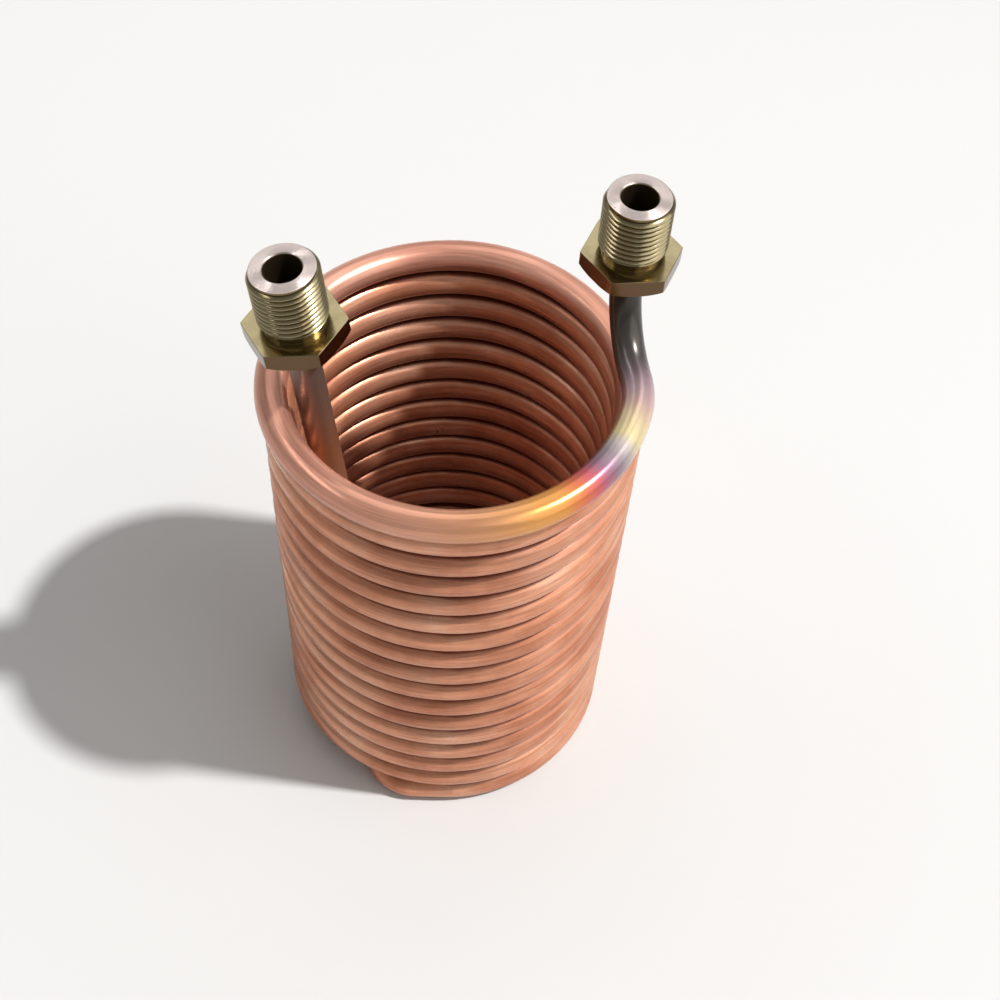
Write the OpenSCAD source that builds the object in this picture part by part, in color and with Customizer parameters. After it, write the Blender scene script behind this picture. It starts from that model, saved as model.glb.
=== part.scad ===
// Close-wound copper tube coil with a brass male-thread fitting brazed to each end.
// X runs to the right, Y to the back and Z up. The coil's axis is Z, and its lowest turn stands on Z = 0.
// The tube is written as it is bent, as straights, rolls and bends that each start where the last one ends.

/* [Tube] */
// Outside diameter of the tube
tube_od = 10; // [8:0.5:10.5]
// Wall thickness of the tube
tube_wall = 1; // [0.6:0.1:2]

/* [Coil] */
// Diameter of the clear space inside the coil
coil_id = 100; // [96:1:120]
// Height from one turn to the next
pitch = 11; // [10.8:0.1:13]
// Turns that cross the front of the coil
turns = 17; // [12:1:22]
// Lowest turns that ease from the coil's slope to flat
settled_turns = 3; // [2:1:5]
// Room that the loose top turn has sprung out at the front
top_spring = 3; // [0:0.5:4]

/* [Outer riser] */
// Angle short of the right-hand side at which the top turn starts to curl in, in degrees
outer_curl_start = 15; // [5:1:25]
// Angle of the curl, in degrees
outer_curl = 26.7; // [10:0.1:40]
// Radius of the curl, at the tube's centre
outer_curl_r = 30; // [25:1:40]
// Radius of the bend up to the fitting, at the tube's centre
outer_bend_r = 22; // [16:1:30]
// Straight tube between the bend and the fitting
outer_straight = 6.2; // [2:0.1:30]

/* [Inner riser] */
// Straight run from the front of the lowest turn to the bend inwards
inner_run = 10; // [6:0.5:14]
// Radius of the bend inwards, at the tube's centre
inner_in_r = 15; // [15:0.5:18]
// Radius of the bend upwards, at the tube's centre
inner_up_r = 26; // [20:0.5:28]
// Room between the riser and the turns that it leans towards
riser_gap = 0.4; // [0.2:0.1:3]
// Height of the inner fitting's underside above the centre of the top turn
inner_stand = 30; // [15:0.5:60]

/* [Fittings] */
// Outside diameter of the pipe thread
thread_d = 20.955; // [19:0.001:27]
// Length from the hexagon to the end face
spigot_len = 21; // [16:0.5:30]
// Length of the chamfer at the thread's start
thread_chamfer = 1; // [0.5:0.1:2]
// Width of the relief groove between the thread and the hexagon
relief_w = 2; // [1:0.1:3]
// Depth of the relief groove
relief_depth = 1.3; // [0.5:0.1:2]
// Hexagon width across flats
hex_af = 27; // [24:0.5:34]
// Thickness of the hexagon
hex_h = 6; // [4:0.5:10]
// Angle of the chamfer on the hexagon's corners, in degrees
hex_chamfer_angle = 30; // [15:1:40]
// Diameter of the waterway
waterway_d = 11; // [10.8:0.1:13]
// Chamfer at the waterway's mouth
mouth_chamfer = 0.4; // [0:0.1:1]
// Depth that the tube goes into the fitting
socket_depth = 10; // [6:0.5:14]
// Room for braze around the tube in its socket
braze_gap = 0.1; // [0.05:0.01:0.2]
// Turn of the outer fitting's hexagon, in degrees
outer_hex_turn = 24.9; // [-30:0.1:30]
// Turn of the inner fitting's hexagon, in degrees
inner_hex_turn = -29.2; // [-30:0.1:30]

/* [Hidden] */
$fn = 64;
$drawn = true;
largest_step = 5.7;
coil_r = coil_id / 2 + tube_od / 2;
tube_id = tube_od - 2 * tube_wall;
top = turns - 1;
last_half = 2 * top - 1;
top_r = coil_r + top_spring / 2;

// The inner riser leans until it is the gap away from the top turn
coil_rise = pitch * top;
riser_back = inner_in_r + inner_up_r - coil_r;
riser_limit = sqrt(pow(coil_r - tube_od - riser_gap, 2) - pow(riser_back, 2));
inner_lean = atan((riser_limit - inner_run - inner_in_r) / coil_rise);
inner_straight = (coil_rise + inner_stand) / cos(inner_lean) - inner_up_r;

copper = [0.72, 0.45, 0.34];
brass = [0.66, 0.60, 0.32];

// Half turns are counted from the floor up: even ones run from front to back on the right, odd ones come back on the left
function right_rise(n) = pitch / 2 * min(1, n / settled_turns);
function rise(k) = k % 2 == 0 ? right_rise(k / 2) : pitch - right_rise((k - 1) / 2);
function radius(k) = k < last_half ? coil_r : top_r;
function tilt(k) = k < 0 ? 0 : atan(rise(k) / 2 / radius(k));
function reach(k) = radius(k) / cos(tilt(k));

// Sizes are stored to six figures, so moves and turns are made in steps that lose nothing there.
// The pieces of the tube then meet face to face, whatever the sizes are, and join into one solid.
function rounded(v, step) = round(v / step) * step;

module shift(v) {
    whole = [for (c = v) round(c)];
    translate(whole)
        translate(v - whole)
            children();
}

// Small equal turns about Z. The cosine is rounded first, and the sine is worked out from it.
module small_turns(count, angle) {
    if (count > 0) {
        c = rounded(cos(angle), 1e-6);
        s = sign(angle) * sqrt(1 - c * c);
        multmatrix([[c, -s, 0, 0], [s, c, 0, 0], [0, 0, 1, 0], [0, 0, 0, 1]])
            small_turns(count - 1, angle)
                children();
    } else {
        children();
    }
}

// A turn about Z: quarter turns, and then small ones
module swing(angle) {
    quarters = round(angle / 90);
    rest = angle - 90 * quarters;
    count = ceil(abs(rest) / largest_step);
    rotate([0, 0, 90 * quarters])
        small_turns(count, rest / max(count, 1))
            children();
}

// The tube heads along Y. A roll turns it about its own length, and so sets which way the next bend goes.
module roll(angle) {
    rotate([-90, 0, 0])
        swing(angle)
            rotate([90, 0, 0])
                children();
}

// The tube's section
module section() {
    difference() {
        circle(d = tube_od);
        circle(d = tube_id);
    }
}

// A bend to the left of radius r, with the rest of the tube at its end
module bend(r, sweep) {
    beyond = 2 * (r + tube_od);
    shift([-r, 0, 0]) {
        if ($drawn)
            difference() {
                rotate_extrude(angle = 90 * ceil(sweep / 90))
                    shift([r, 0])
                        section();
                if (sweep % 90 != 0)
                    swing(sweep)
                        translate([-beyond, 0, -beyond])
                            cube(2 * beyond);
            }
        swing(sweep)
            shift([r, 0, 0])
                children();
    }
}

// A straight, drawn longer by what goes into a socket, with the rest of the tube at its end
module straight(length, into_socket = 0) {
    if ($drawn)
        rotate([-90, 0, 0])
            linear_extrude(length + into_socket)
                section();
    shift([0, length, 0])
        children();
}

// The front of the lowest turn, with the tube heading right
module start() {
    shift([0, -coil_r, tube_od / 2])
        rotate([0, 0, -90])
            children();
}

// Half turn number k, with the rest of the tube at its end
module half_turn(k) {
    roll(tilt(k - 1) + tilt(k))
        bend(reach(k), 180)
            children();
}

// Moves past the first k half turns without drawing them
module climb(k) {
    if (k > 0)
        climb(k - 1)
            half_turn(k - 1, $drawn = false)
                children();
    else
        children();
}

// All half turns, with the rest of the tube at the end of the last one
module wind() {
    drawn = $drawn;
    if (drawn)
        for (k = [0:last_half])
            climb(k)
                half_turn(k, $drawn = true);
    climb(last_half + 1)
        let ($drawn = drawn)
            children();
}

// From the top turn's front, round to the right, curled in and bent straight up
module outer_lead() {
    t = tilt(last_half);
    end = outer_curl - outer_curl_start;
    slope = asin(cos(end) * sin(t));
    roll(2 * t)
        bend(reach(last_half), 90 - outer_curl_start)
            bend(outer_curl_r, outer_curl)
                roll(atan2(cos(t), -sin(end) * sin(t)))
                    bend(outer_bend_r, 90 - slope)
                        straight(outer_straight, socket_depth)
                            children();
}

// From the lowest turn's front, straight on to the left, bent in and then up inside the coil
module inner_lead() {
    rotate([0, 0, 180])
        roll(180)
            straight(inner_run)
                bend(inner_in_r, 90)
                    roll(-90 - inner_lean)
                        bend(inner_up_r, 90)
                            straight(inner_straight, socket_depth)
                                children();
}

module outer_route() {
    start()
        wind()
            outer_lead()
                children();
}

module inner_route() {
    start()
        inner_lead()
            children();
}

module coil_tube() {
    color(copper) {
        outer_route();
        inner_route();
    }
}

// A hexagon bar with its corners turned off at both faces
module hexagon() {
    corner_r = hex_af / sqrt(3);
    drop = (corner_r - hex_af / 2) * tan(hex_chamfer_angle);
    intersection() {
        cylinder(r = corner_r, h = hex_h, $fn = 6);
        rotate_extrude()
            polygon([
                [0, 0],
                [hex_af / 2, 0],
                [corner_r + 0.01, drop],
                [corner_r + 0.01, hex_h - drop],
                [hex_af / 2, hex_h],
                [0, hex_h]
            ]);
    }
}

// The turned spigot that carries the thread, with the waterway and the tube's socket taken out
module fitting() {
    spigot_top = hex_h + spigot_len;
    root_r = thread_d / 2 - relief_depth;
    difference() {
        union() {
            hexagon();
            rotate_extrude()
                polygon([
                    [0, 0.5],
                    [root_r, 0.5],
                    [root_r, hex_h + relief_w],
                    [thread_d / 2, hex_h + relief_w + relief_depth],
                    [thread_d / 2, spigot_top - thread_chamfer],
                    [thread_d / 2 - thread_chamfer, spigot_top],
                    [0, spigot_top]
                ]);
        }
        translate([0, 0, socket_depth])
            cylinder(d = waterway_d, h = spigot_top);
        translate([0, 0, -1])
            cylinder(d = tube_od + 2 * braze_gap, h = spigot_top);
        translate([0, 0, spigot_top - mouth_chamfer])
            cylinder(d1 = waterway_d, d2 = waterway_d + 4 * mouth_chamfer, h = 2 * mouth_chamfer);
    }
}

// A fitting stands on the tube's end and points the way that the tube heads
module outer_fitting() {
    color(brass)
        outer_route($drawn = false)
            rotate([-90, outer_hex_turn, 0])
                fitting();
}

module inner_fitting() {
    color(brass)
        inner_route($drawn = false)
            rotate([-90, inner_hex_turn, 0])
                fitting();
}

coil_tube();
outer_fitting();
inner_fitting();
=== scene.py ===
"""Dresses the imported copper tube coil: a hollow wound tube and two turned, threaded fittings."""

import logging
import math
from dataclasses import dataclass, field
from enum import Enum, auto
from typing import Any, Iterable, Optional

import bmesh
import bpy
from mathutils import Matrix, Vector


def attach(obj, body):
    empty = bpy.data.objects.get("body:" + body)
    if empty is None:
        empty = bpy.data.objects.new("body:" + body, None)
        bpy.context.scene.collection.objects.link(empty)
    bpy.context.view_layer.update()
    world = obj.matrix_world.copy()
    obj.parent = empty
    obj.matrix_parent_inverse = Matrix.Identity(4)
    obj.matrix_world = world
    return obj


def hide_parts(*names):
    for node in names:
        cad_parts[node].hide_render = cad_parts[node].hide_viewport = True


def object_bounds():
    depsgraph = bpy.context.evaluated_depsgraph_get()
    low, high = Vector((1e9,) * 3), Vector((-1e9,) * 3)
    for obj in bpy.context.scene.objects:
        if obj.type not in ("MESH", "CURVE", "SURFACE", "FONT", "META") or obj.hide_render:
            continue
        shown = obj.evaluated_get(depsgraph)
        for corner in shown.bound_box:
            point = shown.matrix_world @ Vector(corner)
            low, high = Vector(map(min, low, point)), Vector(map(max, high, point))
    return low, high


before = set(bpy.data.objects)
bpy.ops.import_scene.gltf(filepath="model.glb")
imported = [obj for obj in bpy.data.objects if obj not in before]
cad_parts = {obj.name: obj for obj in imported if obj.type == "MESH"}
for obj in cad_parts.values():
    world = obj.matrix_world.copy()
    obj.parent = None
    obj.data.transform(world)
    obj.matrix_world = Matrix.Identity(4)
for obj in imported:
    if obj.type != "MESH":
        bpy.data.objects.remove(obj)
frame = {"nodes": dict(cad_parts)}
CAD_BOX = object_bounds()

MM = 0.001
WHITE = "#ffffff"
TUBE_UV = "TubeLength"
TURNED_UV = "TurnedSize"
TUBE_LAYERS = ("along", "around")
# How much a point faces a neighbouring turn, which sets where shade is painted in the grooves
GROOVE_SHADE_MASK = "groove"
# Points closer together than this, in metres, become one
JOIN_WITHIN = 0.00001
# The middle of a noise pattern, and about its lowest and highest values
NOISE_MIDDLE = 0.5
NOISE_LOW = 0.3
NOISE_HIGH = 0.7
# A degree more than a half turn, so that the last ring of one counts too
WHOLE_HALF_TURN = 181
# Rounding, in radians, by which a point at the start of a bend may lie before it
ANGLE_SLACK = 0.01
# The fewest steps that a bend is drawn in
LEAST_BEND_STEPS = 3
# How far each hexagon is turned on its riser, in degrees
OUTER_HEX_TURN = 24.9
INNER_HEX_TURN = -29.2

Tree = bpy.types.NodeTree
Socket = bpy.types.NodeSocket

logging.basicConfig(level=logging.INFO, format="%(message)s")
LOG = logging.getLogger("tube_coil")


class Slot(Enum):
    """Material slot names for the copper and the brass."""

    COPPER = "copper"
    BRASS = "fitting_brass"


def srgb(code: str) -> tuple[float, float, float, float]:
    """Turns an sRGB hex value into the linear colour that a shader takes.

    Args:
        code: The colour, such as "#b87333".

    Returns:
        The linear red, green and blue with an alpha of 1.
    """
    parts = [int(code[i : i + 2], 16) / 255 for i in (1, 3, 5)]
    linear = [c / 12.92 if c <= 0.04045 else ((c + 0.055) / 1.055) ** 2.4 for c in parts]
    return (linear[0], linear[1], linear[2], 1.0)


def add(
    tree: Tree,
    kind: str,
    settings: Optional[dict[Any, Any]] = None,
    links: Optional[dict[Any, Any]] = None,
) -> bpy.types.Node:
    """Adds a node with its settings and links.

    Args:
        tree: The tree that the node goes into.
        kind: The node's type name.
        settings: Attribute names, or socket names or numbers, with their values.
        links: Socket names or numbers with the output sockets that feed them.

    Returns:
        The new node.
    """
    made = tree.nodes.new(kind)
    for key, value in (settings or {}).items():
        if isinstance(key, str) and hasattr(made, key):
            setattr(made, key, value)
        else:
            made.inputs[key].default_value = value
    for key, output in (links or {}).items():
        tree.links.new(output, made.inputs[key])
    return made


def ramp_stops(made: bpy.types.Node, stops: Iterable[tuple[float, str]]) -> None:
    """Sets a colour ramp's stops.

    Args:
        made: The colour ramp node.
        stops: Places from 0 to 1 with their sRGB hex colours, in order.
    """
    elements = made.color_ramp.elements
    for number, (place, colour) in enumerate(stops):
        stop = elements[number] if number < 2 else elements.new(place)
        stop.position = place
        stop.color = srgb(colour)


def new_material(name: str, metallic: float) -> tuple[bpy.types.Material, Tree, bpy.types.Node]:
    """Makes a node material.

    Args:
        name: The material's name.
        metallic: How much of the surface is bare metal, from 0 to 1.

    Returns:
        The material, its node tree and its shader node.
    """
    made = bpy.data.materials.new(name)
    made.use_nodes = True
    tree = made.node_tree
    shader = tree.nodes["Principled BSDF"]
    shader.inputs["Metallic"].default_value = metallic
    return made, tree, shader


def new_verts(made: dict[str, Any]) -> list[bmesh.types.BMVert]:
    """Picks the vertices out of what a bmesh operator made."""
    return [part for part in made["geom"] if isinstance(part, bmesh.types.BMVert)]


def move_into(whole: bmesh.types.BMesh, part: bmesh.types.BMesh) -> None:
    """Adds a part to a mesh.

    Args:
        whole: The mesh that takes the part.
        part: The part, which is freed.
    """
    mesh = bpy.data.meshes.new("part")
    part.to_mesh(mesh)
    part.free()
    whole.from_mesh(mesh)
    bpy.data.meshes.remove(mesh)


def finished(
    name: str,
    bm: bmesh.types.BMesh,
    material: bpy.types.Material,
    sharp_deg: Optional[float] = None,
) -> bpy.types.Object:
    """Makes an object at the origin from a finished bmesh.

    Args:
        name: The object's name.
        bm: The mesh, which is freed.
        material: The finish of every face.
        sharp_deg: The angle between faces from which an edge looks sharp, where the piece has such edges.

    Returns:
        The new object.
    """
    mesh = bpy.data.meshes.new(name)
    for face in bm.faces:
        face.smooth = True
    bm.to_mesh(mesh)
    bm.free()
    mesh.materials.append(material)
    if sharp_deg is not None:
        mesh.set_sharp_from_angle(angle=math.radians(sharp_deg))
    made = bpy.data.objects.new(name, mesh)
    bpy.context.scene.collection.objects.link(made)
    return made


@dataclass(frozen=True)
class Fade:
    """Where a finish starts to show and where it shows in full."""

    start: float
    full: float


@dataclass(frozen=True)
class HeatTint:
    """A colour that brazing heat left on the tube, at a distance from the fitting."""

    at_mm: float
    colour: str


@dataclass(frozen=True)
class DrawnCopper:
    """Drawn copper tube: fine lines along it, brown stains, and heat colours near the brazed ends."""

    clean: str = "#e39e7b"
    pale: str = "#f0b899"
    brown: str = "#cb8260"
    # Painted sheen: the top turn is painted pinker and lighter
    top_turn_sheen: str = "#ecb09a"
    # Painted shade in the grooves between turns and on the undersides of turns that lie on others
    groove_shade: str = "#5c2412"
    dark_length: str = "#d9cdca"
    draw_line: str = "#b8b8b8"
    metallic: float = 0.55
    roughness: float = 0.31
    stained_rougher: float = 0.1
    clean_smoother: float = 0.05
    tinted_roughness: float = 0.24
    stain_mm: float = 30.0
    stain_at: tuple[float, float, float] = (0.3, 0.5, 0.72)
    shade_mm: float = 70.0
    shade_at: tuple[float, float] = (0.3, 0.65)
    draw_line_mm: float = 0.9
    draw_line_length_mm: float = 25.0
    draw_line_at: tuple[float, float] = (0.3, 0.6)
    draw_line_share: float = 0.6
    draw_line_depth_mm: float = 0.05
    draw_line_bump: float = 0.12
    ripple_mm: float = 9.0
    ripple_depth_mm: float = 0.6
    ripple_bump: float = 0.15
    top_turn_mm: float = 400.0
    top_turn_sheen_fade_mm: float = 40.0
    top_turn_sheen_share: float = 0.7
    groove_shade_fade: Fade = Fade(0.76, 0.93)
    groove_shade_share: float = 0.88
    band_wander_mm: float = 16.0
    band_fade_from: float = 0.55
    outer_reach_mm: float = 160.0
    inner_reach_mm: float = 120.0
    outer_tints: tuple[HeatTint, ...] = (
        HeatTint(0, "#3b3731"),
        HeatTint(24, "#45413c"),
        HeatTint(34, "#57504e"),
        HeatTint(41, "#7c6c70"),
        HeatTint(47, "#b59aa0"),
        HeatTint(53, "#cfaea4"),
        HeatTint(59, "#dec8a0"),
        HeatTint(65, "#d9c795"),
        HeatTint(69, "#b9ada6"),
        HeatTint(74, "#94868c"),
        HeatTint(79, "#8f6a7c"),
        HeatTint(83, "#bf5a66"),
        HeatTint(88, "#cf6f48"),
        HeatTint(95, "#d6923f"),
        HeatTint(106, "#d99a42"),
        HeatTint(120, "#c98e58"),
    )
    inner_tints: tuple[HeatTint, ...] = (
        HeatTint(0, "#6a5a52"),
        HeatTint(18, "#7c665c"),
        HeatTint(32, "#8d6a5a"),
        HeatTint(48, "#a8704f"),
        HeatTint(70, "#bb8062"),
    )

    def material(self, length_m: float) -> bpy.types.Material:
        """Makes the material.

        Args:
            length_m: The tube's whole length, which its UV map counts from the outer fitting's end.

        Returns:
            The material.
        """
        # Drawn tube gives the eye satin streaks along its length, and where it was brazed, bands of colour.
        # Its oxide skin scatters about half of the light, as on copper that is no longer bright.
        made, tree, shader = new_material("drawn_copper_heat_tinted", self.metallic)
        place = add(tree, "ShaderNodeTexCoord").outputs["Object"]
        uv = add(tree, "ShaderNodeUVMap", {"uv_map": TUBE_UV}).outputs["UV"]
        along = add(tree, "ShaderNodeSeparateXYZ", links={0: uv}).outputs["Y"]
        # Cloudy stain, a few turns across
        cloud = add(
            tree,
            "ShaderNodeTexNoise",
            {"Scale": 1 / (self.stain_mm * MM), "Detail": 5.0, "Roughness": 0.62},
            {"Vector": place},
        ).outputs["Fac"]
        # Lines left by drawing the tube, long and thin; their spacing is drawn coarse enough to show
        stretched = add(
            tree,
            "ShaderNodeMapping",
            {"Scale": (1 / (self.draw_line_mm * MM), 1 / (self.draw_line_length_mm * MM), 1.0)},
            {"Vector": uv},
        ).outputs[0]
        lines = add(
            tree,
            "ShaderNodeTexNoise",
            {"Scale": 1.0, "Detail": 3.0, "Roughness": 0.6},
            {"Vector": stretched},
        ).outputs["Fac"]
        skin = self._drawn_skin(tree, uv, along, cloud, lines)
        heated = self._heat_bands(tree, skin, along, cloud, length_m)
        tree.links.new(self._painted_groove_shade(tree, heated), shader.inputs["Base Color"])
        tree.links.new(self._sheen(tree, along, cloud), shader.inputs["Roughness"])
        tree.links.new(self._relief(tree, place, lines), shader.inputs["Normal"])
        return made

    def _drawn_skin(
        self, tree: Tree, uv: Socket, along: Socket, cloud: Socket, lines: Socket
    ) -> Socket:
        """Colours the tube apart from its heat bands and its grooves.

        Args:
            tree: The material's tree.
            uv: The tube's UV map.
            along: The distance along the tube.
            cloud: The stain's pattern.
            lines: The drawing lines' pattern.

        Returns:
            The colour.
        """
        wear = add(tree, "ShaderNodeValToRGB", links={0: cloud})
        ramp_stops(wear, zip(self.stain_at, (self.brown, self.clean, self.pale)))
        # The top turn is painted a little pinker and lighter, a painted sheen
        painted_sheen_on_top = add(
            tree,
            "ShaderNodeMapRange",
            {
                "From Min": (self.top_turn_mm + self.top_turn_sheen_fade_mm) * MM,
                "From Max": (self.top_turn_mm - self.top_turn_sheen_fade_mm) * MM,
                "To Max": self.top_turn_sheen_share,
            },
            {"Value": along},
        ).outputs["Result"]
        colour = add(
            tree,
            "ShaderNodeMix",
            {"data_type": "RGBA", 7: srgb(self.top_turn_sheen)},
            {0: painted_sheen_on_top, 6: wear.outputs["Color"]},
        ).outputs[2]
        # Lengths of the tube that are a little darker or lighter, so that neighbouring turns differ
        per_length = 1 / (self.shade_mm * MM)
        lengths = add(
            tree, "ShaderNodeMapping", {"Scale": (per_length, per_length, 1.0)}, {"Vector": uv}
        ).outputs[0]
        shade = add(
            tree, "ShaderNodeTexNoise", {"Scale": 1.0, "Detail": 2.0}, {"Vector": lengths}
        ).outputs["Fac"]
        for pattern, places, grey, strength in (
            (shade, self.shade_at, self.dark_length, 1.0),
            (lines, self.draw_line_at, self.draw_line, self.draw_line_share),
        ):
            greys = add(tree, "ShaderNodeValToRGB", links={0: pattern})
            ramp_stops(greys, zip(places, (grey, WHITE)))
            colour = add(
                tree,
                "ShaderNodeMix",
                {"data_type": "RGBA", "blend_type": "MULTIPLY", "Factor": strength},
                {6: colour, 7: greys.outputs["Color"]},
            ).outputs[2]
        return colour

    def _heat_bands(
        self, tree: Tree, colour: Socket, along: Socket, cloud: Socket, length_m: float
    ) -> Socket:
        """Lays the heat colours of both brazed joints over the tube's own colour.

        Args:
            tree: The material's tree.
            colour: The tube's own colour.
            along: The distance along the tube.
            cloud: The stain's pattern.
            length_m: The tube's whole length.

        Returns:
            The colour.
        """
        # The edge of each outer band wanders a little round the tube
        off_middle = add(
            tree, "ShaderNodeMath", {"operation": "SUBTRACT", 1: NOISE_MIDDLE}, {0: cloud}
        ).outputs[0]
        from_outer = add(
            tree,
            "ShaderNodeMath",
            {"operation": "MULTIPLY_ADD", 1: self.band_wander_mm * MM},
            {0: off_middle, 2: along},
        ).outputs[0]
        from_inner = add(
            tree, "ShaderNodeMath", {"operation": "SUBTRACT", 0: length_m}, {1: along}
        ).outputs[0]
        for distance, tints, reach in (
            (from_outer, self.outer_tints, self.outer_reach_mm),
            (from_inner, self.inner_tints, self.inner_reach_mm),
        ):
            share = add(
                tree, "ShaderNodeMath", {"operation": "DIVIDE", 1: reach * MM}, {0: distance}
            ).outputs[0]
            band = add(tree, "ShaderNodeValToRGB", links={0: share})
            ramp_stops(band, [*((tint.at_mm / reach, tint.colour) for tint in tints), (1.0, self.clean)])
            fade = add(
                tree,
                "ShaderNodeMapRange",
                {"From Min": self.band_fade_from, "From Max": 1.0, "To Min": 1.0, "To Max": 0.0},
                {"Value": share},
            ).outputs["Result"]
            colour = add(
                tree,
                "ShaderNodeMix",
                {"data_type": "RGBA"},
                {0: fade, 6: colour, 7: band.outputs["Color"]},
            ).outputs[2]
        return colour

    def _painted_groove_shade(self, tree: Tree, colour: Socket) -> Socket:
        """Paints shade into the grooves, where neighbouring turns nearly touch, and onto the undersides of
        the turns that lie on others.

        Args:
            tree: The material's tree.
            colour: The tube's colour.

        Returns:
            The colour.
        """
        deep = add(tree, "ShaderNodeAttribute", {"attribute_name": GROOVE_SHADE_MASK}).outputs["Fac"]
        groove_shade_amount = add(
            tree,
            "ShaderNodeMapRange",
            {
                "interpolation_type": "SMOOTHSTEP",
                "From Min": self.groove_shade_fade.start,
                "From Max": self.groove_shade_fade.full,
                "To Max": self.groove_shade_share,
            },
            {"Value": deep},
        ).outputs["Result"]
        return add(
            tree, "ShaderNodeMix", {"data_type": "RGBA", 7: srgb(self.groove_shade)}, {0: groove_shade_amount, 6: colour}
        ).outputs[2]

    def _sheen(self, tree: Tree, along: Socket, cloud: Socket) -> Socket:
        """Sets how rough the tube is.

        Args:
            tree: The material's tree.
            along: The distance along the tube.
            cloud: The stain's pattern.

        Returns:
            The roughness.
        """
        # Stained patches are duller
        dull = add(
            tree,
            "ShaderNodeMapRange",
            {
                "From Min": NOISE_LOW,
                "From Max": NOISE_HIGH,
                "To Min": self.roughness + self.stained_rougher,
                "To Max": self.roughness - self.clean_smoother,
            },
            {"Value": cloud},
        ).outputs["Result"]
        # The heated length by the outer fitting, and the top turn less so, keep a smooth and glossy oxide
        past_heat = add(
            tree,
            "ShaderNodeMapRange",
            {"From Min": self.outer_reach_mm * MM, "From Max": self.top_turn_mm * MM},
            {"Value": along},
        ).outputs["Result"]
        return add(tree, "ShaderNodeMix", {2: self.tinted_roughness}, {0: past_heat, 3: dull}).outputs[0]

    def _relief(self, tree: Tree, place: Socket, lines: Socket) -> Socket:
        """Raises the ripples that bending left and the drawing lines.

        Args:
            tree: The material's tree.
            place: The place on the object.
            lines: The drawing lines' pattern.

        Returns:
            The surface's normal.
        """
        ripple = add(
            tree,
            "ShaderNodeTexNoise",
            {"Scale": 1 / (self.ripple_mm * MM), "Detail": 1.0},
            {"Vector": place},
        ).outputs["Fac"]
        waved = add(
            tree,
            "ShaderNodeBump",
            {"Strength": self.ripple_bump, "Distance": self.ripple_depth_mm * MM},
            {"Height": ripple},
        ).outputs[0]
        return add(
            tree,
            "ShaderNodeBump",
            {"Strength": self.draw_line_bump, "Distance": self.draw_line_depth_mm * MM},
            {"Height": lines, "Normal": waved},
        ).outputs[0]


class Zone(Enum):
    """The parts of a fitting that look different."""

    CREST = auto()
    FLAT = auto()
    SPIGOT = auto()
    FACE = auto()
    BORE = auto()


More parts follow.
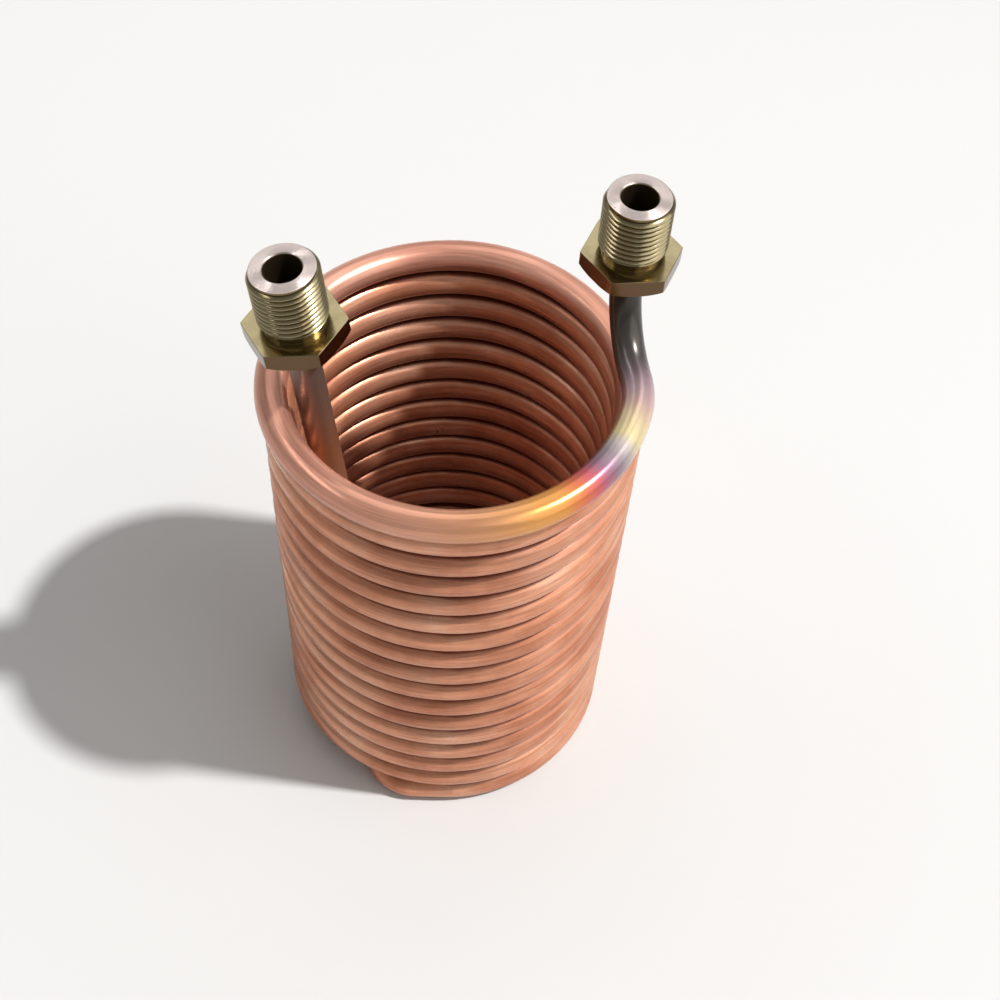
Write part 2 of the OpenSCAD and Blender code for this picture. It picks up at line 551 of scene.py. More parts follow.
@dataclass(frozen=True)
class TurnedBrass:
    """Turned brass: rings left by the tool, a rosy end face and a hexagon browned by the brazing heat.

    The fades are in millimetres, from the hexagon's top, the end face's height or the bore's radius.
    """

    thread: str = "#a79b7a"
    groove: str = "#6e5f42"
    face: str = "#ead9d2"
    hexagon: str = "#aa9d78"
    browned: str = "#8a7a58"
    # Painted shade on the hexagon's flats
    flat: str = "#65503a"
    # The waterway is painted darker, as painted shade in the bore
    bore: str = "#64553f"
    metallic: float = 1.0
    roughness: float = 0.15
    stained_rougher: float = 0.08
    clean_smoother: float = 0.02
    bore_roughness: float = 0.5
    tool_mark_mm: float = 0.35
    tool_mark_depth_mm: float = 0.028
    stain_mm: float = 11.0
    stain_at: tuple[float, float] = (0.34, 0.6)
    pit_depth_mm: float = 0.15
    pit_bump: float = 0.06
    shaded_flat_fade: Fade = Fade(-0.04, -0.16)
    spigot_fade: Fade = Fade(-0.2, 0.4)
    face_fade: Fade = Fade(-0.35, -0.1)
    bore_fade: Fade = Fade(0.15, 0.02)

    def material(self, sizes: "FittingSizes") -> bpy.types.Material:
        """Makes the material.

        Args:
            sizes: The fitting's sizes, which say where its thread, face and hexagon are.

        Returns:
            The material.
        """
        # Turned brass gives the eye a bright, slightly green metal with rings that catch the light.
        # The brazing heat left it brown and dull in patches, and its flats are painted darker, as painted
        # shade.
        made, tree, shader = new_material("turned_brass_browned", self.metallic)
        place = add(tree, "ShaderNodeTexCoord").outputs["Object"]
        uv = add(tree, "ShaderNodeUVMap", {"uv_map": TURNED_UV}).outputs["UV"]
        split = add(tree, "ShaderNodeSeparateXYZ", links={0: uv})
        out, up = split.outputs["X"], split.outputs["Y"]
        cloud = add(
            tree,
            "ShaderNodeTexNoise",
            {"Scale": 1 / (self.stain_mm * MM), "Detail": 4.0, "Roughness": 0.6},
            {"Vector": place},
        ).outputs["Fac"]
        shown = {}
        for zone, measure, edge, fade in (
            (Zone.CREST, out, 0.0, Fade(sizes.root_r, sizes.crest_r)),
            (Zone.FLAT, up, sizes.hex_h, self.shaded_flat_fade),
            (Zone.SPIGOT, up, sizes.hex_h, self.spigot_fade),
            (Zone.FACE, up, sizes.height, self.face_fade),
            (Zone.BORE, out, sizes.bore_r, self.bore_fade),
        ):
            reach = {"From Min": (edge + fade.start) * MM, "From Max": (edge + fade.full) * MM}
            shown[zone] = add(tree, "ShaderNodeMapRange", reach, {"Value": measure}).outputs["Result"]
        # The crests are lighter and the thread's roots darker
        threads = add(
            tree,
            "ShaderNodeMix",
            {"data_type": "RGBA", 6: srgb(self.groove), 7: srgb(self.thread)},
            {0: shown[Zone.CREST]},
        ).outputs[2]
        # The flats are painted darker than the hexagon's upper face: painted shade on its sides
        brown = add(tree, "ShaderNodeValToRGB", links={0: cloud})
        ramp_stops(brown, zip(self.stain_at, (self.browned, self.hexagon)))
        hexagon = add(
            tree,
            "ShaderNodeMix",
            {"data_type": "RGBA", 7: srgb(self.flat)},
            {0: shown[Zone.FLAT], 6: brown.outputs["Color"]},
        ).outputs[2]
        colour = add(
            tree, "ShaderNodeMix", {"data_type": "RGBA"}, {0: shown[Zone.SPIGOT], 6: hexagon, 7: threads}
        ).outputs[2]
        # The end face gets its rosy colour, and the bore is painted darker as painted shade
        for zone, over in ((Zone.FACE, self.face), (Zone.BORE, self.bore)):
            colour = add(
                tree, "ShaderNodeMix", {"data_type": "RGBA", 7: srgb(over)}, {0: shown[zone], 6: colour}
            ).outputs[2]
        tree.links.new(colour, shader.inputs["Base Color"])
        dull = add(
            tree,
            "ShaderNodeMapRange",
            {
                "From Min": NOISE_LOW,
                "From Max": NOISE_HIGH,
                "To Min": self.roughness + self.stained_rougher,
                "To Max": self.roughness - self.clean_smoother,
            },
            {"Value": cloud},
        ).outputs["Result"]
        rough_bore = add(
            tree, "ShaderNodeMix", {3: self.bore_roughness}, {0: shown[Zone.BORE], 2: dull}
        ).outputs[0]
        tree.links.new(rough_bore, shader.inputs["Roughness"])
        # Rings of the turning tool on the end face, spaced coarse enough to show
        per_ring = 2 * math.pi / (self.tool_mark_mm * MM)
        phase = add(tree, "ShaderNodeMath", {"operation": "MULTIPLY", 1: per_ring}, {0: out}).outputs[0]
        rings = add(tree, "ShaderNodeMath", {"operation": "SINE"}, {0: phase}).outputs[0]
        on_face = add(
            tree, "ShaderNodeMath", {"operation": "MULTIPLY"}, {0: rings, 1: shown[Zone.FACE]}
        ).outputs[0]
        ringed = add(
            tree,
            "ShaderNodeBump",
            {"Strength": 1.0, "Distance": self.tool_mark_depth_mm * MM},
            {"Height": on_face},
        ).outputs[0]
        pitted = add(
            tree,
            "ShaderNodeBump",
            {"Strength": self.pit_bump, "Distance": self.pit_depth_mm * MM},
            {"Height": cloud, "Normal": ringed},
        ).outputs[0]
        tree.links.new(pitted, shader.inputs["Normal"])
        return made


@dataclass
class TubeSkin:
    """One wall of the tube, bent piece by piece. Each vertex keeps its distance along and angle round.

    The frame is that of the tube's end so far, with Y ahead, and rolled adds up the rolls in degrees.
    A length that isn't forward runs back from the start, to the inner riser's end.
    """

    bm: bmesh.types.BMesh
    radius: float
    sides: int
    step_deg: float
    frame: Matrix
    along: float = 0.0
    rolled: float = 0.0
    forward: bool = True

    @property
    def sense(self) -> int:
        """Whether the distance along grows or shrinks as the tube is bent, as 1 or -1."""
        return 1 if self.forward else -1

    def _ring(self) -> bmesh.types.BMesh:
        """Starts a piece as a ring of edges across the tube, which isn't twisted by the rolls so far."""
        piece = bmesh.new()
        for name in (*TUBE_LAYERS, GROOVE_SHADE_MASK):
            piece.verts.layers.float.new(name)
        untwist = Matrix.Rotation(-math.radians(self.rolled), 4, "Y")
        across = untwist @ Matrix.Rotation(math.radians(90), 4, "X")
        bmesh.ops.create_circle(piece, segments=self.sides, radius=self.radius, matrix=self.frame @ across)
        return piece

    def _join(
        self,
        piece: bmesh.types.BMesh,
        centre: Matrix,
        bend_r: float = 0.0,
        roofed: float = 0.0,
        stacked: bool = False,
    ) -> None:
        """Marks a finished piece and adds it to the skin.

        Args:
            piece: The piece, which is freed.
            centre: The frame of the bend's centre, or of the tube where it is straight.
            bend_r: The bend's radius, or 0 where the tube is straight.
            roofed: The angle of the bend, from its start and in degrees, that lies under another turn.
            stacked: Whether the bend lies on another turn.
        """
        along, around, groove = (piece.verts.layers.float[name] for name in (*TUBE_LAYERS, GROOVE_SHADE_MASK))
        to_local = centre.inverted()
        for vert in piece.verts:
            local = to_local @ vert.co
            length, out = local.y, local.x
            under = False
            if bend_r:
                angle = math.atan2(local.y, local.x)
                angle = angle if angle > -ANGLE_SLACK else angle + 2 * math.pi
                under = roofed > 0 and math.degrees(angle) < roofed
                length = bend_r * angle
                out = math.hypot(local.x, local.y) - bend_r
            facing = local.z / self.radius
            # Shade is painted on the upper side of a turn under another, and on the underside of a turn
            # lying on another
            vert[groove] = max(facing * under, -facing * stacked)
            turn = math.atan2(local.z, out) - math.radians(self.rolled)
            vert[along] = self.along + self.sense * length
            vert[around] = turn if self.forward else math.pi - turn
        move_into(self.bm, piece)

    def roll(self, angle: float) -> "TubeSkin":
        """Turns the tube about its own length, in degrees, and so sets which way the next bend goes."""
        self.frame = self.frame @ Matrix.Rotation(math.radians(angle), 4, "Y")
        self.rolled += angle
        return self

    def bend(self, bend_r: float, sweep: float, roofed: float = 0.0, stacked: bool = False) -> "TubeSkin":
        """Bends the tube to its left.

        Args:
            bend_r: The bend's radius at the tube's centre.
            sweep: The bend's angle, in degrees.
            roofed: The angle of the bend, from its start and in degrees, that lies under another turn.
            stacked: Whether the bend lies on another turn.

        Returns:
            The skin itself.
        """
        centre = self.frame @ Matrix.Translation((-bend_r, 0, 0))
        piece = self._ring()
        bmesh.ops.spin(
            piece,
            geom=piece.edges[:],
            cent=centre.translation,
            axis=centre.to_3x3() @ Vector((0, 0, 1)),
            angle=math.radians(sweep),
            steps=max(LEAST_BEND_STEPS, round(sweep / self.step_deg)),
        )
        self._join(piece, centre, bend_r, roofed, stacked)
        swung = Matrix.Rotation(math.radians(sweep), 4, "Z")
        self.frame = centre @ swung @ Matrix.Translation((bend_r, 0, 0))
        self.along += self.sense * bend_r * math.radians(sweep)
        return self

    def straight(self, length: float) -> "TubeSkin":
        """Runs the tube straight on by a length."""
        piece = self._ring()
        made = bmesh.ops.extrude_edge_only(piece, edges=piece.edges[:])
        ahead = self.frame.to_3x3() @ Vector((0, length, 0))
        bmesh.ops.translate(piece, verts=new_verts(made), vec=ahead)
        self._join(piece, self.frame)
        self.frame = self.frame @ Matrix.Translation((0, length, 0))
        self.along += self.sense * length
        return self


@dataclass
class WoundTube:
    """The copper tube: a close-wound coil, its outer riser and its inner riser."""

    od: float = 10 * MM
    wall: float = 1 * MM
    coil_id: float = 100 * MM
    pitch: float = 11 * MM
    turns: int = 17
    settled_turns: int = 3
    top_spring: float = 3 * MM
    outer_curl_start: float = 15.0
    outer_curl: float = 26.7
    outer_curl_r: float = 30 * MM
    outer_bend_r: float = 22 * MM
    outer_straight: float = 6.2 * MM
    inner_run: float = 10 * MM
    inner_in_r: float = 15 * MM
    inner_up_r: float = 26 * MM
    riser_gap: float = 0.4 * MM
    inner_stand: float = 30 * MM
    socket_depth: float = 10 * MM
    sides: int = 28
    step_deg: float = 4.0
    bore_step_deg: float = 15.0

    def __post_init__(self) -> None:
        """Works out the sizes that follow from the others."""
        self.coil_r = (self.coil_id + self.od) / 2
        self.bore_r = self.od / 2 - self.wall
        self.top = self.turns - 1
        self.last_half = 2 * self.top - 1
        coil_rise = self.pitch * self.top
        back = self.inner_in_r + self.inner_up_r - self.coil_r
        limit = math.sqrt((self.coil_r - self.od - self.riser_gap) ** 2 - back**2)
        self.inner_lean = math.degrees(math.atan((limit - self.inner_run - self.inner_in_r) / coil_rise))
        riser = (coil_rise + self.inner_stand) / math.cos(math.radians(self.inner_lean))
        self.inner_straight = riser - self.inner_up_r

    def rise(self, half: int) -> float:
        """Gives the height that a half turn climbs, counted from the floor."""
        right = self.pitch / 2 * min(1.0, (half // 2) / self.settled_turns)
        return right if half % 2 == 0 else self.pitch - right

    def radius(self, half: int) -> float:
        """Gives a half turn's radius, at the tube's centre and seen from above."""
        return self.coil_r if half < self.last_half else self.coil_r + self.top_spring / 2

    def tilt(self, half: int) -> float:
        """Gives a half turn's slope, in degrees."""
        return 0.0 if half < 0 else math.degrees(math.atan(self.rise(half) / 2 / self.radius(half)))

    def reach(self, half: int) -> float:
        """Gives a half turn's own radius, in its sloping plane."""
        return self.radius(half) / math.cos(math.radians(self.tilt(half)))

    def start(self) -> Matrix:
        """Gives the frame at the front of the lowest turn, with the tube heading right along its Y."""
        heading_right = Matrix.Rotation(math.radians(-90), 4, "Z")
        return Matrix.Translation((0, -self.coil_r, self.od / 2)) @ heading_right

    def wind(self, skin: TubeSkin) -> Matrix:
        """Winds the coil and bends its outer riser.

        Args:
            skin: A skin that stands at the start.

        Returns:
            The frame at the outer fitting's underside.
        """
        lead = 90 - self.outer_curl_start
        for half in range(self.last_half + 1):
            roofed = WHOLE_HALF_TURN if half + 2 <= self.last_half else 0
            if half + 1 == self.last_half:
                roofed = lead
            skin.roll(self.tilt(half - 1) + self.tilt(half)).bend(self.reach(half), 180, roofed, half > 1)
        slope = math.radians(self.tilt(self.last_half))
        end = math.radians(self.outer_curl - self.outer_curl_start)
        level = math.degrees(math.asin(math.cos(end) * math.sin(slope)))
        skin.roll(2 * math.degrees(slope)).bend(self.reach(self.last_half), lead, stacked=True)
        skin.bend(self.outer_curl_r, self.outer_curl)
        skin.roll(math.degrees(math.atan2(math.cos(slope), -math.sin(end) * math.sin(slope))))
        skin.bend(self.outer_bend_r, 90 - level).straight(self.outer_straight)
        underside = skin.frame.copy()
        skin.straight(self.socket_depth)
        return underside

    def rise_inside(self, skin: TubeSkin) -> Matrix:
        """Bends the inner riser, on from the front of the lowest turn.

        Args:
            skin: A skin that stands at the start.

        Returns:
            The frame at the inner fitting's underside.
        """
        skin.frame = skin.frame @ Matrix.Rotation(math.pi, 4, "Z")
        skin.roll(180).straight(self.inner_run).bend(self.inner_in_r, 90)
        skin.roll(-90 - self.inner_lean).bend(self.inner_up_r, 90).straight(self.inner_straight)
        underside = skin.frame.copy()
        skin.straight(self.socket_depth)
        return underside

    def build(self, finish: DrawnCopper) -> tuple[bpy.types.Object, Matrix, Matrix]:
        """Builds and dresses the tube.

        Args:
            finish: The tube's finish.

        Returns:
            The tube, and the frames at the outer and the inner fitting's undersides.
        """
        bm = bmesh.new()
        for name in (*TUBE_LAYERS, GROOVE_SHADE_MASK):
            bm.verts.layers.float.new(name)
        for radius, step in ((self.od / 2, self.step_deg), (self.bore_r, self.bore_step_deg)):
            up = TubeSkin(bm, radius, self.sides, step, self.start())
            down = TubeSkin(bm, radius, self.sides, step, self.start(), forward=False)
            outer = self.wind(up)
            inner = self.rise_inside(down)
        bmesh.ops.remove_doubles(bm, verts=bm.verts, dist=JOIN_WITHIN)
        for skin in (up, down):
            self._face_end(bm, skin.frame.translation)
        bmesh.ops.remove_doubles(bm, verts=bm.verts, dist=JOIN_WITHIN)
        bmesh.ops.recalc_face_normals(bm, faces=bm.faces)
        top_end, low_end = up.along - self.socket_depth, down.along + self.socket_depth
        self._unwrap(bm, top_end)
        made = finished("coil_tube_wound", bm, finish.material(top_end - low_end))
        return made, outer, inner

    def _face_end(self, bm: bmesh.types.BMesh, end: Vector) -> None:
        """Closes the wall at one end of the tube, from the outside rim in to the bore's rim.

        Args:
            bm: The tube's mesh, with its outside and its bore.
            end: The middle of the tube's end.
        """
        between = self.od / 2 - self.wall / 2
        rims = [edge for edge in bm.edges if edge.is_boundary]
        outside = [edge for edge in rims if between < (edge.verts[0].co - end).length < self.od]
        made = bmesh.ops.extrude_edge_only(bm, edges=outside)
        for vert in new_verts(made):
            vert.co = end + (vert.co - end).normalized() * self.bore_r

    def _unwrap(self, bm: bmesh.types.BMesh, top_end: float) -> None:
        """Writes the distance round and along the tube, in metres, to its UV map.

        Args:
            bm: The tube's mesh.
            top_end: The distance along at the outer fitting's underside, from which the map counts down.
        """
        along, round_tube = (bm.verts.layers.float[name] for name in TUBE_LAYERS)
        uv = bm.loops.layers.uv.new(TUBE_UV)
        for face in bm.faces:
            first = face.loops[0].vert[round_tube]
            for loop in face.loops:
                turn = (loop.vert[round_tube] - first) / (2 * math.pi)
                around = first + 2 * math.pi * (turn - round(turn))
                loop[uv].uv = (around * self.od / 2, top_end - loop.vert[along])
        for name in TUBE_LAYERS:
            bm.verts.layers.float.remove(bm.verts.layers.float[name])


@dataclass(frozen=True)
class FittingSizes:
    """The sizes of a fitting in millimetres, from its underside up.

    The ridge's shares and thread_start are parts of the pitch. At the thread's start its ridge loses
    thread_run_in of radius for each millimetre of height.
    """

    thread_d: float = 20.955
    thread_pitch: float = 1.814
    thread_depth: float = 1.162
    thread_chamfer: float = 1.0
    thread_run_in: float = 1.2
    thread_start: float = 0.2
    ridge_foot: float = 0.3
    ridge_foot_share: float = 0.49
    ridge_root_share: float = 0.46
    ridge_round: float = 0.1
    ridge_round_share: float = 0.12
    ridge_crest_share: float = 0.04
    spigot_len: float = 21.0
    collar: float = 0.7
    collar_slope: float = 0.3
    face_edge: float = 0.15
    relief_w: float = 2.0
    relief_depth: float = 1.3
    relief_slope: float = 0.2
    core_inset: float = 1.0
    core_step: float = 0.5
    core_lift: float = 0.05
    hex_af: float = 27.0
    hex_h: float = 6.0
    hex_chamfer_deg: float = 30.0
    hex_corner_round: float = 0.15
    hex_edge: float = 0.15
    hex_lap: float = 0.6
    hex_clearance: float = 0.02
    waterway_d: float = 11.0
    mouth_chamfer: float = 0.4
    socket_depth: float = 10.0
    socket_r: float = 5.1

    @property
    def height(self) -> float:
        """The whole height."""
        return self.hex_h + self.spigot_len

    @property
    def crest_r(self) -> float:
        """The thread's outside radius."""
        return self.thread_d / 2

    @property
    def root_r(self) -> float:
        """The thread's inside radius."""
        return self.crest_r - self.thread_depth

    @property
    def relief_r(self) -> float:
        """The relief groove's radius."""
        return self.crest_r - self.relief_depth

    @property
    def bore_r(self) -> float:
        """The waterway's radius."""
        return self.waterway_d / 2


class HexLevel(Enum):
    """The rings of points that the hexagon is milled to, from its underside up."""

    UNDERSIDE = auto()
    CHAMFER = auto()
    EDGE = auto()
    TOP = auto()


@dataclass
class ThreadedFitting:
    """A brass fitting: a hexagon, a relief groove, a pipe thread and a waterway."""

    name: str
    underside: Matrix
    hex_turn: float
    sizes: FittingSizes = field(default_factory=FittingSizes)
    sides: int = 72
    points_per_flat: int = 12
    sharp_deg: float = 32.0
    thread_turns: int = 10

    def build(self, material: bpy.types.Material) -> bpy.types.Object:
        """Builds and dresses the fitting.

        Args:
            material: The turned brass.

        Returns:
            The fitting's object.
        """
        bm = bmesh.new()
        self._turn_body(bm)
        self._cut_thread(bm)
        self._mill_hexagon(bm)
        bmesh.ops.scale(bm, verts=bm.verts, vec=(MM, MM, MM))
        self._unwrap(bm)
        place = self.underside @ Matrix.Rotation(math.radians(-90), 4, "X")
        bmesh.ops.transform(bm, matrix=place, verts=bm.verts)
        return finished(self.name, bm, material, self.sharp_deg)

    def _turn_body(self, bm: bmesh.types.BMesh) -> None:
        """Turns the spigot without its thread, with the waterway and the socket.

        Args:
            bm: The mesh, still empty, that takes the shape.
        """
        s = self.sizes
        core_r = s.relief_r - s.core_inset
        face_r = s.crest_r - s.thread_chamfer
        collar_up = s.height - s.thread_chamfer - s.collar
        edge = s.face_edge
        outline = [
            (s.socket_r, s.core_lift),
            (core_r, s.core_lift),
            (core_r, s.hex_h - s.core_step),
            (s.relief_r, s.hex_h - s.core_step),
            (s.relief_r, s.hex_h + s.relief_w),
            (s.root_r, s.hex_h + s.relief_w + s.relief_slope),
            (s.root_r, collar_up),
            (face_r, collar_up + s.collar_slope),
            (face_r, s.height - edge),
            (face_r - edge / 3, s.height - edge / 3),
            (face_r - edge, s.height),
            (s.bore_r + s.mouth_chamfer, s.height),
            (s.bore_r, s.height - s.mouth_chamfer),
            (s.bore_r, s.socket_depth),
            (s.socket_r, s.socket_depth),
        ]
        verts = [bm.verts.new((out, 0, up)) for out, up in outline]
        edges = [bm.edges.new((verts[i - 1], verts[i])) for i in range(len(verts))]
        bmesh.ops.spin(
            bm,
            geom=verts + edges,
            cent=(0, 0, 0),
            axis=(0, 0, 1),
            angle=2 * math.pi,
            steps=self.sides,
            use_merge=True,
        )
        bmesh.ops.recalc_face_normals(bm, faces=bm.faces)

    def _cut_thread(self, bm: bmesh.types.BMesh) -> None:
        """Winds the thread's ridge and trims it to the chamfer at its start and to the relief groove.

        Args:
            bm: The mesh that takes the shape.
        """
        s = self.sizes
        low = s.hex_h + s.relief_w
        p = s.thread_pitch
        ridge = bmesh.new()
        flank = [
            (s.root_r - s.ridge_foot, s.ridge_foot_share * p),
            (s.root_r, s.ridge_root_share * p),
            (s.crest_r - s.ridge_round, s.ridge_round_share * p),
            (s.crest_r, s.ridge_crest_share * p),
        ]
        outline = [(out, -up) for out, up in flank] + flank[::-1]
        verts = [ridge.verts.new((out, 0, low - s.thread_start * p + up)) for out, up in outline]
        edges = [ridge.edges.new((verts[i - 1], verts[i])) for i in range(len(verts))]
        bmesh.ops.spin(
            ridge,
            geom=edges,
            cent=(0, 0, 0),
            axis=(0, 0, 1),
            dvec=(0, 0, p / self.sides),
            angle=2 * math.pi,
            steps=self.sides,
        )
        turn = ridge.verts[:] + ridge.edges[:] + ridge.faces[:]
        for number in range(1, self.thread_turns):
            made = bmesh.ops.duplicate(ridge, geom=turn)
            bmesh.ops.translate(ridge, verts=new_verts(made), vec=(0, 0, number * p))
        bmesh.ops.remove_doubles(ridge, verts=ridge.verts, dist=JOIN_WITHIN / MM)
        open_edges = [edge for edge in ridge.edges if edge.is_boundary]
        bmesh.ops.holes_fill(ridge, edges=open_edges, sides=len(outline))
        bmesh.ops.recalc_face_normals(ridge, faces=ridge.faces)
        run_in_up = s.height - s.thread_chamfer - s.collar / 2
        for vert in ridge.verts:
            limit = min(
                s.relief_r + max(0.0, vert.co.z - low),
                s.crest_r - max(0.0, vert.co.z - run_in_up) * s.thread_run_in,
            )
            out = math.hypot(vert.co.x, vert.co.y)
            if out > limit:
                vert.co.x *= limit / out
                vert.co.y *= limit / out
        move_into(bm, ridge)

    def _mill_hexagon(self, bm: bmesh.types.BMesh) -> None:
        """Mills the hexagon, with its corners turned off at the underside and a sharp upper edge.

        Args:
            bm: The mesh that takes the shape.
        """
        s = self.sizes
        flat = s.hex_af / 2
        corner = flat / math.cos(math.radians(30)) - s.hex_corner_round
        before = set(bm.faces)
        count = 6 * self.points_per_flat
        turn = Matrix.Rotation(math.radians(self.hex_turn), 4, "Z")
        slope = math.tan(math.radians(s.hex_chamfer_deg))
        loops = []
        for level in HexLevel:
            made = bmesh.ops.create_circle(bm, segments=count, radius=1.0)
            for vert in made["verts"]:
                angle = math.atan2(vert.co.y, vert.co.x)
                to_flat = angle % (math.pi / 3) - math.pi / 6
                reach = min(flat / math.cos(to_flat), corner)
                out, up = {
                    HexLevel.UNDERSIDE: (flat - s.hex_edge, 0.0),
                    HexLevel.CHAMFER: (reach, max(s.hex_edge, (reach - flat) * slope)),
                    HexLevel.EDGE: (reach, s.hex_h - s.hex_edge),
                    HexLevel.TOP: (reach - s.hex_edge, s.hex_h),
                }[level]
                vert.co = turn @ Vector((out * math.cos(angle), out * math.sin(angle), up))
            loops.append(list(dict.fromkeys(edge for vert in made["verts"] for edge in vert.link_edges)))
        for below, above in zip(loops, loops[1:]):
            bmesh.ops.bridge_loops(bm, edges=below + above)
        # The upper and lower faces run in under the spigot, where a wall joins them
        inside = []
        for loop, radius in (
            (loops[0], s.socket_r + s.hex_clearance),
            (loops[-1], s.relief_r - s.hex_lap),
        ):
            made = bmesh.ops.extrude_edge_only(bm, edges=loop)
            rim = new_verts(made)
            for vert in rim:
                out = math.hypot(vert.co.x, vert.co.y)
                vert.co.x *= radius / out
                vert.co.y *= radius / out
            rim_edges = dict.fromkeys(edge for vert in rim for edge in vert.link_edges)
            inside += [edge for edge in rim_edges if edge.is_boundary]
        bmesh.ops.bridge_loops(bm, edges=inside)
        faces = [face for face in bm.faces if face not in before]
        bmesh.ops.recalc_face_normals(bm, faces=faces)

    def _unwrap(self, bm: bmesh.types.BMesh) -> None:
        """Writes each point's radius and height, in metres, to the UV map.

        Args:
            bm: The fitting's mesh, before it is put in its place.
        """
        uv = bm.loops.layers.uv.new(TURNED_UV)
        for face in bm.faces:
            for loop in face.loops:
                co = loop.vert.co
                loop[uv].uv = (math.hypot(co.x, co.y), co.z)


@dataclass(frozen=True)
class SoftBox:
    """A soft box that points at the coil: its direction in degrees, and its distance and size in metres."""

    name: str
    azimuth: float
    elevation: float
    distance: float
    width: float
    height: float
    watts: float


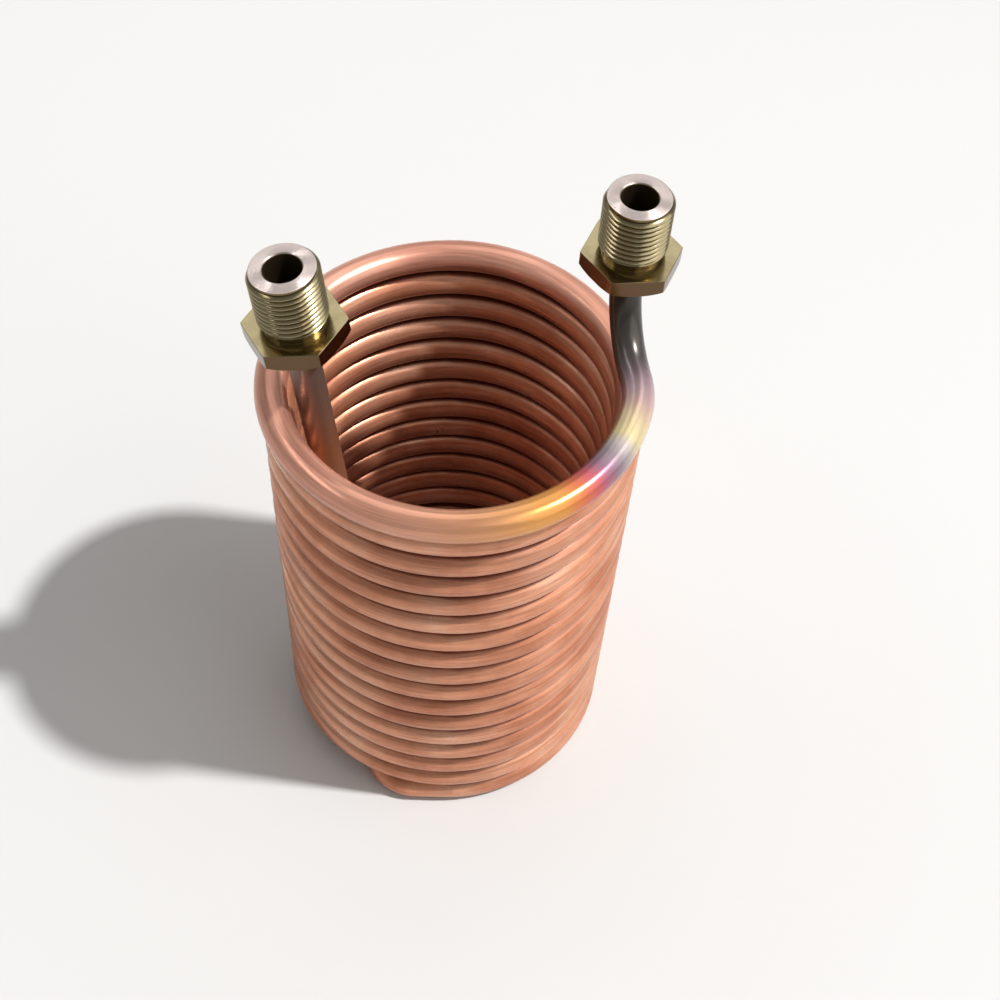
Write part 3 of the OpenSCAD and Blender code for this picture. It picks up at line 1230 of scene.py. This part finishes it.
@dataclass
class Studio:
    """A plain pale floor, a sun from the right, soft boxes and the camera at the photograph's angle.

    The camera's angles are in radians, and those of the lamps are in degrees.
    """

    camera_at_mm: tuple[float, float, float] = (0.0, -306.26, 540.19)
    pan: float = 0.0544
    tilt: float = 0.9468
    roll: float = -0.0780
    focal_px: float = 1530.9
    image_px: float = 1000.0
    sensor_mm: float = 36.0
    clip_start: float = 0.01
    floor_size: float = 40.0
    floor_colour: str = "#d3d2d0"
    floor_roughness: float = 0.9
    sun_azimuth: float = -6.0
    sun_elevation: float = 57.5
    sun_strength: float = 3.3
    sun_spread_deg: float = 3.0
    sun_distance: float = 1.0
    horizon_strength: float = 0.44
    zenith_strength: float = 0.28
    wall_fill: float = 0.5
    foot_strength: float = 0.36
    foot_height: float = 0.14
    soft_boxes: tuple[SoftBox, ...] = (
        SoftBox("right_soft_box", -20.0, 38.0, 1.1, 1.3, 1.1, 5.2),
        SoftBox("back_panel", 90.0, 60.0, 1.2, 1.2, 0.8, 3.2),
        SoftBox("left_strip", 170.0, 52.0, 1.2, 0.9, 0.14, 1.6),
    )

    def build(self) -> None:
        """Builds the floor, the lights and the camera."""
        self._floor()
        self._world()
        self._lamps()
        self._camera()

    def _floor(self) -> None:
        """Lays the floor at the coil's foot."""
        bm = bmesh.new()
        bmesh.ops.create_grid(bm, x_segments=1, y_segments=1, size=self.floor_size / 2)
        # Matt paper gives the eye an even tone on which the coil's shadow shows
        made, _, shader = new_material("pale_paper", 0.0)
        shader.inputs["Roughness"].default_value = self.floor_roughness
        shader.inputs["Base Color"].default_value = srgb(self.floor_colour)
        finished("studio_floor", bm, made)

    def _world(self) -> None:
        """Sets the light that comes from the studio's walls and ceiling."""
        world = bpy.data.worlds.new("studio")
        bpy.context.scene.world = world
        world.use_nodes = True
        tree = world.node_tree
        tree.nodes.clear()
        # The studio's walls are paler than its ceiling, and palest at their foot, where they meet the floor
        towards = add(tree, "ShaderNodeTexCoord").outputs["Generated"]
        height = add(tree, "ShaderNodeSeparateXYZ", links={0: towards}).outputs["Z"]
        level = add(
            tree,
            "ShaderNodeMapRange",
            {"To Min": self.horizon_strength, "To Max": self.zenith_strength},
            {"Value": height},
        ).outputs["Result"]
        foot = add(
            tree,
            "ShaderNodeMapRange",
            {"From Max": self.foot_height, "To Min": self.foot_strength, "To Max": 0.0},
            {"Value": height},
        ).outputs["Result"]
        walls = add(tree, "ShaderNodeMath", {"operation": "ADD"}, {0: level, 1: foot}).outputs[0]
        # The camera, metal and glass see the walls at full strength, and matt surfaces get part of it
        path = add(tree, "ShaderNodeLightPath")
        seen = path.outputs["Is Camera Ray"]
        for ray in ("Is Glossy Ray", "Is Transmission Ray"):
            rays = {0: seen, 1: path.outputs[ray]}
            seen = add(tree, "ShaderNodeMath", {"operation": "MAXIMUM"}, rays).outputs[0]
        share = add(tree, "ShaderNodeMapRange", {"To Min": self.wall_fill}, {"Value": seen}).outputs[0]
        strength = add(tree, "ShaderNodeMath", {"operation": "MULTIPLY"}, {0: walls, 1: share}).outputs[0]
        soft = add(tree, "ShaderNodeBackground", {"Color": srgb(WHITE)}, {"Strength": strength})
        add(tree, "ShaderNodeOutputWorld", links={0: soft.outputs[0]})

    def _lamps(self) -> None:
        """Hangs the sun and the soft boxes."""
        sun = bpy.data.lights.new("sun", "SUN")
        sun.energy = self.sun_strength
        sun.angle = math.radians(self.sun_spread_deg)
        self._hang(sun, self.sun_azimuth, self.sun_elevation, self.sun_distance)
        for box in self.soft_boxes:
            lamp = bpy.data.lights.new(box.name, "AREA")
            lamp.shape = "RECTANGLE"
            lamp.size = box.width
            lamp.size_y = box.height
            lamp.energy = box.watts
            self._hang(lamp, box.azimuth, box.elevation, box.distance)

    def _hang(self, lamp: bpy.types.Light, azimuth: float, elevation: float, distance: float) -> None:
        """Hangs a lamp that points at the middle of the coil.

        Args:
            lamp: The lamp.
            azimuth: Its direction from the coil, in degrees from the right towards the back.
            elevation: Its height over the coil's middle, in degrees.
            distance: Its distance in metres.
        """
        flat, up = math.radians(azimuth), math.radians(elevation)
        towards = Vector((math.cos(up) * math.cos(flat), math.cos(up) * math.sin(flat), math.sin(up)))
        hung = bpy.data.objects.new(lamp.name, lamp)
        middle = (Vector(CAD_BOX[0]) + Vector(CAD_BOX[1])) / 2
        hung.location = middle + distance * towards
        hung.rotation_euler = towards.to_track_quat("Z", "Y").to_euler()
        hung.visible_camera = False
        bpy.context.scene.collection.objects.link(hung)

    def _camera(self) -> None:
        """Sets the camera from the photograph's fitted view."""
        lens = bpy.data.cameras.new("camera")
        lens.sensor_width = self.sensor_mm
        lens.lens = self.sensor_mm * self.focal_px / self.image_px
        lens.clip_start = self.clip_start
        camera = bpy.data.objects.new("camera", lens)
        forward = Vector(
            (
                math.sin(self.pan) * math.cos(self.tilt),
                math.cos(self.pan) * math.cos(self.tilt),
                -math.sin(self.tilt),
            )
        )
        level = Vector((math.cos(self.pan), -math.sin(self.pan), 0))
        down = forward.cross(level)
        right = math.cos(self.roll) * level + math.sin(self.roll) * down
        below = -math.sin(self.roll) * level + math.cos(self.roll) * down
        turn = Matrix((right, -below, -forward)).transposed()
        camera.matrix_world = Matrix.Translation(Vector(self.camera_at_mm) * MM) @ turn.to_4x4()
        bpy.context.scene.collection.objects.link(camera)
        bpy.context.scene.camera = camera


def main() -> None:
    """Builds every piece in order and dresses it."""
    bpy.context.scene.view_settings.view_transform = "Standard"
    tube, outer, inner = WoundTube().build(DrawnCopper())
    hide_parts("coil_tube")
    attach(tube, "root")
    LOG.info("%s: %d faces", tube.name, len(tube.data.polygons))
    brass = TurnedBrass().material(FittingSizes())
    for name, node, underside, turn in (
        ("outer_fitting_threaded", "outer_fitting", outer, OUTER_HEX_TURN),
        ("inner_fitting_threaded", "inner_fitting", inner, INNER_HEX_TURN),
    ):
        fitting = ThreadedFitting(name, underside, turn).build(brass)
        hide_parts(node)
        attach(fitting, "root")
        LOG.info("%s: %d faces", fitting.name, len(fitting.data.polygons))
    Studio().build()


if __name__ == "__main__":
    main()
